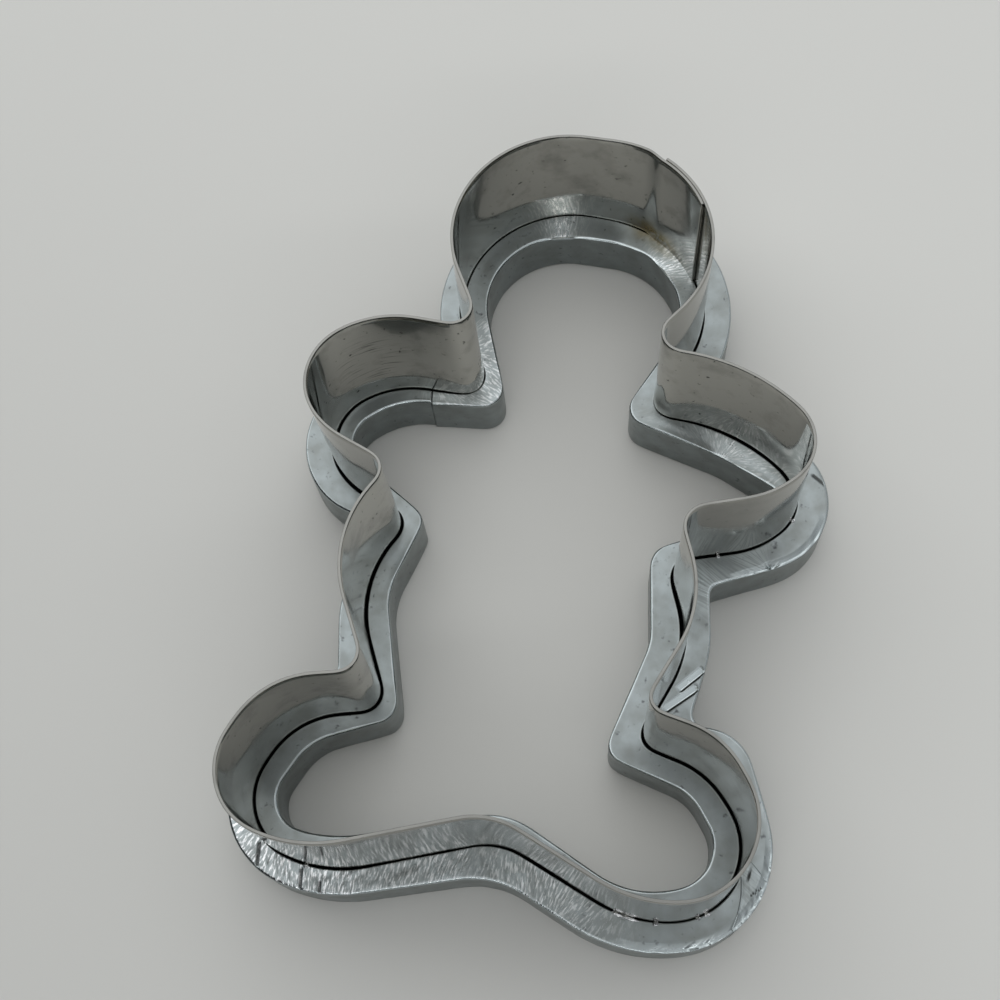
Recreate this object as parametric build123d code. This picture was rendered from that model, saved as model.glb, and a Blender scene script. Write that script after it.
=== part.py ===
from build123d import *
from collections import namedtuple
from math import acos, hypot, sqrt, tan
import os

# Gingerbread man cutter, lying on its frame with the cutting edge up.
# A tall thin strip on edge follows the figure. Two flat bars bent to the same
# figure, one inside and one outside of the strip, make the heavy frame at its foot.
# X runs across the figure, Y from the feet to the head, Z up from the table.

# The figure and the strip
figure_length = 127.0
cutter_height = 35.0
strip_thickness = 0.5
strip_foot_lift = 0.5
edge_bevel = 0.15
lap_length = 11.0
lap_relief_margin = 1.0
lap_groove_width = 0.3
lap_groove_depth = 0.12

# The two bars of the frame
bar_height = 10.0
bar_width = 4.5
slot_clearance = 0.25
bar_edge_round = 0.6
tightest_bend = 2.0
tightest_rim = 1.0
rim_push = 0.25
most_rim_pushes = 40
crotch_rim_round = 15.0
butt_gap = 0.2

# The filled joint of the outer bar at the right foot
joint_slot_span = 3.4
joint_rim_span = 10.7
joint_rim_drop = 0.3
joint_sink = 0.2
joint_clearance = 0.1
pit_radius = 0.7
pit_depth = 0.4

# The solder beads in the outer seam
bead_width = 0.9
bead_height = 0.35
bead_clearance = 0.1
long_bead_length = 4.4
short_bead_length = 1.2

# The tool marks in the top of the outer bar. A gouge's turn is its angle in degrees
# from the way that the outline runs there.
gouge_radius = 1.1
gouge_depth = 0.45
gouge_length = 5.9
gouge_turns = [-32.0, -21.0]
saw_cut_width = 0.35
saw_cut_depth = 0.3
saw_cut_length = 2.8

# Boolean tools run past the faces that they cut by this much.
overrun = 1.0

# The bends of the figure. A round bend is a circle, and a corner bend is a corner
# with its tip rounded. Its place across and along the figure, measured from the
# middle, and its rounding are shares of the figure's length. The bars aren't bent
# quite like the strip, so in each bend the inner and the outer bar have their own
# shares of the bar width.
Bend = namedtuple("Bend", "name kind across along rounding inner outer")
crotch_shares = Bend("crotch", "corner", 0.014, -0.429, 0.094, 0.87, 1.12)
right_side_shares = [
    Bend("instep", "corner", 0.188, -0.501, 0.407, 0.62, 1.18),
    Bend("foot", "round", 0.221, -0.400, 0.094, 0.95, 0.99),
    Bend("thigh", "corner", 0.263, -0.299, 0.105, 0.99, 1.68),
    Bend("hip", "corner", 0.167, -0.280, 0.019, 0.76, 1.16),
    Bend("waist", "corner", 0.225, -0.144, 0.149, 1.45, 0.49),
    Bend("armpit", "corner", 0.178, -0.029, 0.029, 0.55, 1.10),
    Bend("elbow", "corner", 0.294, 0.008, 0.133, 1.16, 0.78),
    Bend("hand", "round", 0.269, 0.079, 0.065, 0.52, 1.25),
    Bend("shoulder", "corner", 0.242, 0.183, 0.256, 1.18, 1.03),
    Bend("neck", "corner", 0.101, 0.189, 0.027, 0.25, 1.09),
    Bend("head", "round", 0.019, 0.341, 0.157, 0.87, 1.09),
]
left_side_shares = [
    Bend("instep", "corner", 0.197, -0.507, 0.391, 1.06, 0.80),
    Bend("foot", "round", 0.232, -0.414, 0.082, 0.84, 0.84),
    Bend("thigh", "corner", 0.280, -0.316, 0.113, 0.93, 1.17),
    Bend("hip", "corner", 0.162, -0.289, 0.025, 0.25, 1.34),
    Bend("waist", "corner", 0.248, -0.127, 0.159, 1.22, 0.29),
    Bend("armpit", "corner", 0.186, -0.022, 0.024, 0.38, 0.54),
    Bend("elbow", "corner", 0.279, 0.015, 0.124, 0.97, 1.01),
    Bend("hand", "round", 0.239, 0.092, 0.083, 0.86, 0.94),
    Bend("shoulder", "corner", 0.247, 0.190, 0.143, 0.80, 1.00),
    Bend("neck", "corner", 0.105, 0.183, 0.026, 0.34, 1.10),
    Bend("head", "round", 0.020, 0.345, 0.154, 0.87, 0.89),
]

# Places round the figure, as shares of the strip's way round it, starting between
# the feet and going up the right side, over the head and down the left side.
lap_place_share = 0.463
butt_place_share = 0.650
joint_place_share = 0.1165
long_bead_place_share = 0.0628
short_bead_place_shares = [0.0739, 0.0892, 0.0922, 0.2676, 0.3018, 0.9375]
gouge_place_shares = [0.2063, 0.1977]
saw_cut_place_shares = [0.3165, 0.9212, 0.9372, 0.9438]

# Each pit of the fill lies back from its near end and out from the seam by these
# shares of the fill's length at the seam and of the bar's width.
pit_back_shares = [0.5, 1.0]
pit_out_shares = [0.4, 0.7]

# A rounding takes no more than this share of the straight beside it, and the crown
# of a bead no more than this share of its height or half its width.
room_share = 0.96
bead_rounding_share = 0.9
half = 0.5


def bends():
    """The bends of the figure in millimetres, in order round it, the left side mirrored."""
    found = [crotch_shares] + right_side_shares
    for bend in reversed(left_side_shares):
        found.append(bend._replace(across=-bend.across))
    return [
        bend._replace(
            across=bend.across * figure_length,
            along=bend.along * figure_length,
            rounding=bend.rounding * figure_length,
        )
        for bend in found
    ]


def tangent(one, two):
    """The straight that touches two circles (x, y, radius) on their outer sides, and its normal."""
    run_x = two[0] - one[0]
    run_y = two[1] - one[1]
    run = hypot(run_x, run_y)
    lean = max(-1, min(1, (two[2] - one[2]) / run))
    square = sqrt(1 - lean * lean)
    normal = Vector(
        (square * run_y - lean * run_x) / run,
        (-square * run_x - lean * run_y) / run,
    )
    start = Vector(one[0], one[1]) + normal * one[2]
    end = Vector(two[0], two[1]) + normal * two[2]
    return start, end, normal


def straights(circles):
    """The straights from each circle to the next, right round the figure."""
    return [tangent(circles[k], circles[(k + 1) % len(circles)]) for k in range(len(circles))]


def moved_circles(distance, extras):
    """The circles of the bends, moved outwards by the distance and by each bend's extra."""
    figure = bends()
    circles = [
        (bend.across, bend.along, bend.rounding if bend.kind == "round" else 0) for bend in figure
    ]
    lines = straights(circles)
    moved = []
    for k, (x, y, radius) in enumerate(circles):
        into = lines[k - 1][2]
        out = lines[k][2]
        if figure[k].kind == "round":
            spot = Vector(x, y) + (into + out).normalized() * extras[k]
            moved.append((spot.X, spot.Y, radius + distance))
        else:
            shift = distance + extras[k]
            spot = Vector(x, y) + (into + out) * (shift / (1 + into.dot(out)))
            moved.append((spot.X, spot.Y, 0))
    return moved


def corner_turns(lines, roundings):
    """For each bend, the side and angle that it turns, and its reach along its straights."""
    wanted = []
    for k, bend in enumerate(bends()):
        into = (lines[k - 1][1] - lines[k - 1][0]).normalized()
        out = (lines[k][1] - lines[k][0]).normalized()
        side = 1 if into.X * out.Y - into.Y * out.X > 0 else -1
        turn = acos(max(-1, min(1, into.dot(out))))
        reach = 0 if bend.kind == "round" else roundings[k] * tan(turn * half)
        wanted.append((side, turn, reach))
    return wanted


def bend_arcs(distance, extras, roundings):
    """The start, end and middle of each bend's arc, after a move outwards."""
    circles = moved_circles(distance, extras)
    lines = straights(circles)
    wanted = corner_turns(lines, roundings)
    reaches = [reach for _, _, reach in wanted]
    for k, (start, end, _) in enumerate(lines):
        after = (k + 1) % len(lines)
        room = (end - start).length * room_share
        own = max(room * half, room - wanted[after][2])
        other = max(room * half, room - wanted[k][2])
        reaches[k] = min(reaches[k], own)
        reaches[after] = min(reaches[after], other)
    arcs = []
    for k, bend in enumerate(bends()):
        if bend.kind == "round":
            arcs.append((lines[k - 1][1], lines[k][0], Vector(circles[k][0], circles[k][1])))
            continue
        side, turn, _ = wanted[k]
        reach = reaches[k]
        into = (lines[k - 1][1] - lines[k - 1][0]).normalized()
        out = (lines[k][1] - lines[k][0]).normalized()
        first = lines[k][0] - into * reach
        last = lines[k][0] + out * reach
        centre = first + Vector(-into.Y, into.X) * (side * reach / tan(turn * half))
        arcs.append((first, last, centre))
    return arcs


def outline(distance, extras, roundings):
    """The figure's closed outline, moved outwards, with its own rounding in each corner."""
    arcs = bend_arcs(distance, extras, roundings)
    edges = []
    for k, (first, last, centre) in enumerate(arcs):
        chord = (first + last) * half - centre
        top = centre + chord.normalized() * (first - centre).length
        edges.append(ThreePointArc(first, top, last))
        edges.append(Line(last, arcs[(k + 1) % len(arcs)][0]))
    return Wire(edges)


def hollow(bend):
    """Whether the figure's outline turns inwards in this bend."""
    return bend.name in ("crotch", "hip", "armpit", "neck")


def concentric(bend, shift):
    """The rounding of a bend after a move outwards."""
    return bend.rounding - shift if hollow(bend) else bend.rounding + shift


def plain_outline(distance):
    """The outline moved outwards by one distance all the way round."""
    extras = [0 for _ in bends()]
    return outline(distance, extras, [concentric(bend, distance) for bend in bends()])


def with_room(distance, extras, roundings):
    """The extras, with each corner pushed out until it has room for the tightest rim."""
    extras = list(extras)
    push = rim_push if distance > 0 else -rim_push
    for _ in range(most_rim_pushes):
        arcs = bend_arcs(distance, extras, roundings)
        tight = [k for k, (first, _, centre) in enumerate(arcs) if (first - centre).length < tightest_rim]
        for k in tight:
            extras[k] += push
    return extras


def slot_edge():
    """How far the edge of the slot for the strip lies from the strip's middle."""
    return strip_thickness * half + slot_clearance


def inner_bar_edge():
    """The inner edge of the inner bar, whose hollows are as tight as the slot's."""
    distance = -slot_edge() - bar_width
    extras = [bar_width * (1 - bend.inner) for bend in bends()]
    roundings = []
    for bend, extra in zip(bends(), extras):
        shift = -slot_edge() if hollow(bend) else distance + extra
        roundings.append(max(tightest_rim, concentric(bend, shift)))
    return outline(distance, with_room(distance, extras, roundings), roundings)


def outer_bar_edge():
    """The outer edge of the outer bar, with its wide bend between the feet."""
    distance = slot_edge() + bar_width
    extras = [bar_width * (bend.outer - 1) for bend in bends()]
    roundings = [
        max(tightest_bend, concentric(bend, distance + extra)) for bend, extra in zip(bends(), extras)
    ]
    roundings[0] = crotch_rim_round
    return outline(distance, with_room(distance, extras, roundings), roundings)


def prism(wire, foot, height):
    """An upright solid on a closed outline, from the foot up to the height."""
    return extrude(Pos(0, 0, foot) * Face(wire), amount=height - foot, dir=(0, 0, 1))


def seam(place_share, distance, height):
    """A frame at a place round the figure: X along the outline, Y inwards, Z up."""
    way = plain_outline(0)
    along = way % place_share
    out = Vector(along.Y, -along.X)
    spot = way @ place_share + out * distance + Vector(0, 0, height)
    return Location(Plane(origin=spot, x_dir=along, z_dir=(0, 0, 1)))


def lap_window(length):
    """An upright block over the lap of the strip's ends, of this length."""
    return seam(lap_place_share, 0, cutter_height * half) * Box(length, length, cutter_height + overrun)


def cutting_blade():
    """The strip on edge, with its two ends lapped at the right of the head."""
    outer = prism(plain_outline(strip_thickness * half), strip_foot_lift, cutter_height)
    edge = outer.faces().sort_by(Axis.Z)[-1].outer_wire().edges()
    outer = chamfer(edge, edge_bevel)
    lap_skin = plain_outline(-strip_thickness * half)
    blade = outer - prism(lap_skin, 0, cutter_height + overrun)
    lap = prism(lap_skin, strip_foot_lift, cutter_height)
    lap -= prism(plain_outline(-strip_thickness * (1 + half)), 0, cutter_height + overrun)
    blade += lap & lap_window(lap_length)
    groove = Box(
        lap_groove_width,
        overrun + lap_groove_depth,
        cutter_height + overrun,
        align=(Align.CENTER, Align.MIN, Align.MIN),
    )
    outside = seam(lap_place_share, strip_thickness * half + overrun, 0)
    return blade - outside * Pos(lap_length * half, 0, 0) * groove


def inner_bar_blank():
    """The inner bar before it is cut, with the edges of its inner wall rounded."""
    bar = prism(plain_outline(-slot_edge()), 0, bar_height)
    bar -= prism(inner_bar_edge(), -overrun, bar_height + overrun)
    faces = bar.faces().filter_by(Plane.XY).sort_by(Axis.Z)
    rims = faces[0].inner_wires()[0].edges() + faces[-1].inner_wires()[0].edges()
    return fillet(rims, bar_edge_round)


def inner_frame_bar():
    """The inner bar, relieved behind the lap, with its butt joint in the left arm."""
    relief = prism(plain_outline(0), -overrun, bar_height + overrun)
    relief -= prism(plain_outline(-slot_edge() - strip_thickness), -overrun, bar_height + overrun)
    relief &= lap_window(lap_length + lap_relief_margin)
    place = seam(butt_place_share, -slot_edge() - bar_width * half, bar_height * half)
    butt = place * Box(butt_gap, bar_width + overrun, bar_height + overrun)
    return inner_bar_blank() - relief - butt


def outer_bar_blank():
    """The outer bar before it is cut, with the edges of its outer wall rounded."""
    bar = prism(outer_bar_edge(), 0, bar_height)
    faces = bar.faces().filter_by(Plane.XY).sort_by(Axis.Z)
    bar = fillet(faces[0].edges() + faces[-1].edges(), bar_edge_round)
    return bar - prism(plain_outline(slot_edge()), -overrun, bar_height + overrun)


def joint_wedge(widening):
    """The wedge between the ends of the outer bar, short at the slot and long at the rim."""
    near = overrun
    far = bar_width + overrun
    back = joint_slot_span + widening
    slope = joint_rim_drop / (joint_rim_span - joint_slot_span)
    end = joint_rim_span + widening + overrun
    corners = [
        (widening, near),
        (-back, near),
        (-back, widening),
        (-end, widening - slope * (end - back)),
        (-end, -far),
        (widening, -far),
    ]
    wedge = prism(Polyline(corners, close=True).wire(), -overrun, bar_height + overrun)
    return seam(joint_place_share, slot_edge(), 0) * wedge


def gouge(place_share, turn):
    """A round-ended groove that a tool left across the top of the outer bar."""
    straight = gouge_length - gouge_radius - gouge_radius
    tool = Plane.YZ * Pos(0, 0, -straight * half) * extrude(Circle(gouge_radius), amount=straight)
    for end in (-half, half):
        tool += Pos(straight * end, 0, 0) * Sphere(gouge_radius)
    height = bar_height + gouge_radius - gouge_depth
    place = seam(place_share, slot_edge() + bar_width * half, height)
    return place * Rot(0, 0, turn) * tool


def saw_cut(place_share):
    """A short saw cut across the rim of the outer bar."""
    place = seam(place_share, slot_edge() + bar_width + overrun, bar_height - saw_cut_depth)
    return place * Box(
        saw_cut_width,
        saw_cut_length + overrun,
        saw_cut_depth + overrun,
        align=(Align.CENTER, Align.MIN, Align.MIN),
    )


def outer_frame_bar():
    """The outer bar, open at the right foot, with its gouges and saw cuts."""
    bar = outer_bar_blank() - joint_wedge(joint_clearance)
    for place_share, turn in zip(gouge_place_shares, gouge_turns):
        bar -= gouge(place_share, turn)
    for place_share in saw_cut_place_shares:
        bar -= saw_cut(place_share)
    return bar


def outer_bar_joint_fill():
    """The rough pitted fill between the ends of the outer bar, sunk a little below them."""
    fill = outer_bar_blank() & joint_wedge(0)
    top = seam(joint_place_share, slot_edge(), bar_height - joint_sink)
    reach = joint_rim_span + bar_width
    fill -= top * Box(reach + reach, reach + reach, reach, align=(Align.CENTER, Align.CENTER, Align.MIN))
    for back_share, out_share in zip(pit_back_shares, pit_out_shares):
        spot = Pos(-joint_slot_span * back_share, -bar_width * out_share, pit_radius - pit_depth)
        fill -= top * spot * Sphere(pit_radius)
    return fill


def bead_places():
    """The place round the figure and the length of each bead, clear of the bead before it."""
    way_round = plain_outline(0).length
    beads = [(long_bead_place_share, long_bead_length)]
    for place_share in short_bead_place_shares:
        last_share, last_length = beads[-1]
        apart = (last_length + short_bead_length) * half + bead_clearance
        beads.append((max(place_share, last_share + apart / way_round), short_bead_length))
    return beads


def solder_bead(place_share, length):
    """A bead of solder on the outer bar's top, reaching over the seam towards the strip."""
    bead = extrude(SlotOverall(length, bead_width), amount=bead_height)
    rim = bead.faces().sort_by(Axis.Z)[-1].edges()
    bead = fillet(rim, min(bead_height, bead_width * half) * bead_rounding_share)
    distance = strip_thickness * half + bead_clearance + bead_width * half
    return seam(place_share, distance, bar_height) * bead


def pieces():
    """Every piece of the cutter by name."""
    made = {
        "cutting_blade": cutting_blade(),
        "inner_frame_bar": inner_frame_bar(),
        "outer_frame_bar": outer_frame_bar(),
        "outer_bar_joint_fill": outer_bar_joint_fill(),
    }
    for number, (place_share, length) in enumerate(bead_places()):
        made[f"solder_bead_{number + 1}"] = solder_bead(place_share, length)
    return made


os.makedirs("parts", exist_ok=True)
middle = outer_bar_blank().bounding_box().center()
for name, piece in pieces().items():
    export_step(Pos(-middle.X, -middle.Y, 0) * piece, f"parts/{name}.step")
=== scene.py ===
"""Looks of a gingerbread man cookie cutter: bright strip steel between two heavy zinc-plated bars."""

import math

import bpy
import numpy as np
from mathutils import Euler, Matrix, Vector, noise


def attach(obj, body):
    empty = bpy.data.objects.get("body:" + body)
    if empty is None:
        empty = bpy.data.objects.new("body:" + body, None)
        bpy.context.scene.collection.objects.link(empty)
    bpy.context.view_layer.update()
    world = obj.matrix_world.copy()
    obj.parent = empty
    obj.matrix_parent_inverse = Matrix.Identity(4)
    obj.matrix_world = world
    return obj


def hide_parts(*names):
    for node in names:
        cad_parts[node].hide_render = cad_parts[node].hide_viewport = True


bl_info = {
    "name": "Gingerbread Man Cutter",
    "version": (1, 0, 0),
    "blender": (4, 5, 0),
    "location": "View3D > Sidebar > Cutter",
    "description": "Builds the strip, the frame bars and the joints of a gingerbread man cutter",
    "category": "Add Mesh",
}

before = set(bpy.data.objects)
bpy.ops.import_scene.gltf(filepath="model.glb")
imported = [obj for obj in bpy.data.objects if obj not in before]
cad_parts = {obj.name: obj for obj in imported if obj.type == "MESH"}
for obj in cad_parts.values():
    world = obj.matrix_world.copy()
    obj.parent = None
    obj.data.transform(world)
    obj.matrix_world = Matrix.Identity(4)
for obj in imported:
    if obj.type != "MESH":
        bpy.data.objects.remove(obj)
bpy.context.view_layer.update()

MM = 0.001

# The bends of the figure, in order round it from between the feet, up the right side,
# over the head and down the left side. Each has its place across and along the figure
# and its rounding in shares of the figure's length, the widths of the inner and outer bar
# in shares of the bar's width, and how far the strip's foot leans outwards there, in
# millimetres. A round one is a circle that the straights touch, and the others are
# corners where two straights meet.
BENDS = [
    ("crotch", 0.014, -0.429, 0.094, 0.87, 1.12, 0.1),
    ("instep", 0.188, -0.501, 0.407, 0.62, 1.18, 0.0),
    ("foot", 0.221, -0.400, 0.094, 0.95, 0.99, 0.0),
    ("thigh", 0.263, -0.299, 0.105, 0.99, 1.68, -0.5),
    ("hip", 0.167, -0.280, 0.019, 0.76, 1.16, 0.0),
    ("waist", 0.225, -0.144, 0.149, 1.45, 0.49, -0.5),
    ("armpit", 0.178, -0.029, 0.029, 0.55, 1.10, -0.45),
    ("elbow", 0.294, 0.008, 0.133, 1.16, 0.78, -0.2),
    ("hand", 0.269, 0.079, 0.065, 0.52, 1.25, 0.05),
    ("shoulder", 0.242, 0.183, 0.256, 1.18, 1.03, 0.05),
    ("neck", 0.101, 0.189, 0.027, 0.25, 1.09, -0.15),
    ("head", 0.019, 0.341, 0.157, 0.87, 1.09, -0.1),
    ("head", -0.020, 0.345, 0.154, 0.87, 0.89, 0.35),
    ("neck", -0.105, 0.183, 0.026, 0.34, 1.10, -0.35),
    ("shoulder", -0.247, 0.190, 0.143, 0.80, 1.00, -0.65),
    ("hand", -0.239, 0.092, 0.083, 0.86, 0.94, -0.75),
    ("elbow", -0.279, 0.015, 0.124, 0.97, 1.01, -0.4),
    ("armpit", -0.186, -0.022, 0.024, 0.38, 0.54, -0.12),
    ("waist", -0.248, -0.127, 0.159, 1.22, 0.29, -0.3),
    ("hip", -0.162, -0.289, 0.025, 0.25, 1.34, 0.1),
    ("thigh", -0.280, -0.316, 0.113, 0.93, 1.17, -0.1),
    ("foot", -0.232, -0.414, 0.082, 0.84, 0.84, -0.15),
    ("instep", -0.197, -0.507, 0.391, 1.06, 0.80, 0.0),
]
ROUNDS = ("foot", "hand", "head")
HOLLOWS = ("crotch", "hip", "armpit", "neck")

# Places round the figure, as shares of the strip's way round it.
LAP_FROM, LAP_TO = 0.4505, 0.4767
BUTT_PLACE = 0.650
# The outer bar's two ends, each at the seam and at the rim.
BAR_START = np.array((0.1178, 0.1153))
BAR_END = np.array((0.1103, 0.0966))
CROWN = 0.507
# Each gouge has its place, its middle's way out from the strip and its length in
# millimetres, and its turn from the strip's line in degrees. The saw cuts have the same.
GOUGES = [(0.2066, 2.21, 5.45, -27.1), (0.1989, 2.23, 6.68, -24.0)]
SAW_CUTS = [
    (0.3165, 4.81, 3.10, -147.5), (0.9209, 2.43, 4.12, -49.5),
    (0.9371, 2.64, 3.59, -77.6), (0.9438, 3.32, 2.17, -83.1),
]
BURRS = [0.9231, 0.9240, 0.9252, 0.9266, 0.9277, 0.9292]
NECK_DENTS = [0.3834, 0.6315]
# The seam isn't equally wide all the way round: place, and how wide it is inside and
# outside the strip, in shares of the usual gap.
SEAM = [
    (0.000, 0.6, 0.5), (0.020, 0.5, 1.3), (0.050, 0.5, 1.2), (0.075, 0.7, 0.6), (0.090, 0.9, 0.7),
    (0.105, 1.0, 1.3), (0.160, 1.1, 0.8), (0.225, 1.7, 1.2), (0.270, 1.0, 1.5), (0.290, 0.9, 0.8),
    (0.320, 1.0, 1.4), (0.350, 1.3, 0.9), (0.380, 0.6, 0.8), (0.440, 0.4, 0.9), (0.500, 0.4, 0.9),
    (0.520, 0.8, 0.9), (0.580, 0.3, 0.9), (0.630, 0.8, 0.8), (0.680, 1.3, 0.9), (0.740, 1.3, 1.2),
    (0.800, 1.4, 0.9), (0.860, 1.1, 0.9), (0.900, 1.0, 0.9), (0.925, 0.8, 1.1), (0.955, 0.6, 1.3),
    (0.975, 0.5, 0.7), (0.990, 0.6, 0.9), (1.000, 0.6, 0.5),
]
# Where the inner bar's top is twisted a little towards the middle: place, reach and slope.
TWISTS = [
    (0.460, 0.012, 0.16), (0.488, 0.012, 0.10), (0.523, 0.011, 0.16),
    (0.350, 0.018, 0.13), (0.320, 0.015, 0.06), (0.160, 0.030, 0.05),
]
# Where the inner bar's top is brightened with painted highlight: place, reach and how bright.
HIGHLIGHT_PATCHES = [(0.523, 0.008, 1.0), (0.462, 0.012, 0.8), (0.345, 0.022, 0.6), (0.640, 0.010, 0.5)]
# Each solder bead has its place and its length in millimetres.
BEADS = [
    (0.0628, 4.4), (0.0739, 0.9), (0.0892, 0.8), (0.0927, 1.0),
    (0.2676, 0.8), (0.3018, 0.8), (0.9375, 0.9),
]


def millimetres(name, description, default):
    """A length that a user can change."""
    return bpy.props.FloatProperty(name=name, description=description, default=default * MM, unit="LENGTH")


def hex_colour(name, surface, default):
    """An sRGB hex colour that a user can change."""
    description = "sRGB hex colour of " + surface
    return bpy.props.StringProperty(name=name, description=description, default=default)


def roughness(name, faces, default):
    """A roughness that a user can change."""
    description = "Roughness of " + faces
    return bpy.props.FloatProperty(
        name=name, description=description, default=default, min=0.0, max=1.0, subtype="FACTOR")


class CutterSizes(bpy.types.PropertyGroup):
    """Sizes of the cutter that a user would change."""

    figure_length: millimetres("Figure length", "Length of the cut figure, from its feet to its head", 127)
    cutter_height: millimetres("Cutter height", "Height from the table to the cutting edge", 35)
    strip_thickness: millimetres("Strip thickness", "Thickness of the cutting strip", 0.5)
    strip_lift: millimetres("Strip lift", "Height of the strip's foot above the table", 0.5)
    bar_height: millimetres("Bar height", "Height of the frame's flat bars", 10)
    bar_width: millimetres("Bar width", "Width of the frame's flat bars", 4.5)
    seam_gap: millimetres("Seam gap", "Gap between the strip and each bar", 0.17)
    rim_round: millimetres("Rim rounding", "Rounding of the bars' long outer edges", 0.55)
    slot_round: millimetres("Slot rounding", "Rounding of the bars' edges next to the strip", 0.22)
    rim_filed: millimetres("Filed rim", "Depth of the slant that was filed off the outer bar's rim", 0.4)
    strip_bevel: millimetres("Strip bevel", "Bevel of the strip's cutting edge", 0.06)
    file_marks: millimetres("File marks", "Depth of the file and hammer marks in the bars' tops", 0.05)


class CutterFinish(bpy.types.PropertyGroup):
    """Colours and gloss of the cutter that a user would change."""

    strip_colour: hex_colour("Strip colour", "the bright strip steel", "#B2B1AB")
    bar_colour: hex_colour("Bar colour", "the zinc-plated bars", "#8F9697")
    fill_colour: hex_colour("Fill colour", "the weld fill", "#8C9394")
    solder_colour: hex_colour("Solder colour", "the solder", "#C9CBCC")
    floor_colour: hex_colour("Floor colour", "the plain floor", "#CFCFCB")
    strip_roughness: roughness("Strip roughness", "the strip's clean faces", 0.06)
    bar_roughness: roughness("Bar roughness", "the bars' plated faces", 0.3)


# outline of the figure


def unit(vector):
    """The vector at length one."""
    return vector / np.linalg.norm(vector)


def tangent(one, two):
    """The straight that touches two circles (x, y, radius) on their outer sides, and its normal."""
    run = np.array(two[:2]) - np.array(one[:2])
    length = np.linalg.norm(run)
    lean = max(-1.0, min(1.0, (two[2] - one[2]) / length))
    square = math.sqrt(1 - lean * lean)
    normal = np.array((square * run[1] - lean * run[0], -square * run[0] - lean * run[1])) / length
    return np.array(one[:2]) + normal * one[2], np.array(two[:2]) + normal * two[2], normal


def straights(circles):
    """The straights from each circle to the next, right round the figure."""
    return [tangent(circles[k], circles[(k + 1) % len(circles)]) for k in range(len(circles))]


def bend_arcs(length, distance, extras, roundings):
    """The start, end and middle of each bend's arc after a move outwards, in metres."""
    # Neighbouring arcs leave a little straight between them.
    arcs_room_share = 0.96
    circles = [
        (b[1] * length, b[2] * length, b[3] * length if b[0] in ROUNDS else 0.0) for b in BENDS]
    lines = straights(circles)
    moved = []
    for k, (x, y, radius) in enumerate(circles):
        into, out = lines[k - 1][2], lines[k][2]
        if BENDS[k][0] in ROUNDS:
            x, y = np.array((x, y)) + unit(into + out) * extras[k]
            moved.append((x, y, radius + distance))
        else:
            x, y = np.array((x, y)) + (into + out) * ((distance + extras[k]) / (1 + into @ out))
            moved.append((x, y, 0.0))
    lines = straights(moved)
    turns, asked = [], []
    for k, bend in enumerate(BENDS):
        into = unit(lines[k - 1][1] - lines[k - 1][0])
        out = unit(lines[k][1] - lines[k][0])
        side = 1.0 if into[0] * out[1] - into[1] * out[0] > 0 else -1.0
        turn = math.acos(max(-1.0, min(1.0, into @ out)))
        turns.append((side, turn, into, out))
        asked.append(0.0 if bend[0] in ROUNDS else roundings[k] * math.tan(turn / 2))
    reaches = list(asked)
    for k, (start, end, _) in enumerate(lines):
        after = (k + 1) % len(lines)
        room = np.linalg.norm(end - start) * arcs_room_share
        reaches[k] = min(reaches[k], max(room / 2, room - asked[after]))
        reaches[after] = min(reaches[after], max(room / 2, room - asked[k]))
    arcs = []
    for k, bend in enumerate(BENDS):
        if bend[0] in ROUNDS:
            arcs.append((lines[k - 1][1], lines[k][0], np.array(moved[k][:2])))
            continue
        side, turn, into, out = turns[k]
        first = lines[k][0] - into * reaches[k]
        last = lines[k][0] + out * reaches[k]
        sideways = np.array((-into[1], into[0]))
        arcs.append((first, last, first + sideways * side * reaches[k] / math.tan(turn / 2)))
    return arcs


def arc_points(first, last, centre, count):
    """Points on an arc from its start up to just before its end, and its length."""
    start = math.atan2(*(first - centre)[::-1])
    sweep = (math.atan2(*(last - centre)[::-1]) - start + math.pi) % (2 * math.pi) - math.pi
    radius = np.linalg.norm(first - centre)
    angles = start + sweep * np.arange(count) / count
    return centre + radius * np.stack([np.cos(angles), np.sin(angles)], 1), abs(sweep) * radius


def concentric(bend, length, shift):
    """The rounding of a bend after a move outwards."""
    return bend[3] * length + (-shift if bend[0] in HOLLOWS else shift)


def softened(values, reach):
    """A closed run of values, each averaged with its neighbours over the reach."""
    steps = np.arange(-3 * reach, 3 * reach + 1)
    weights = np.exp(-0.5 * (steps / reach) ** 2)
    total = sum(w * np.roll(values, -s, axis=0) for w, s in zip(weights, steps))
    return total / weights.sum()


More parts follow.
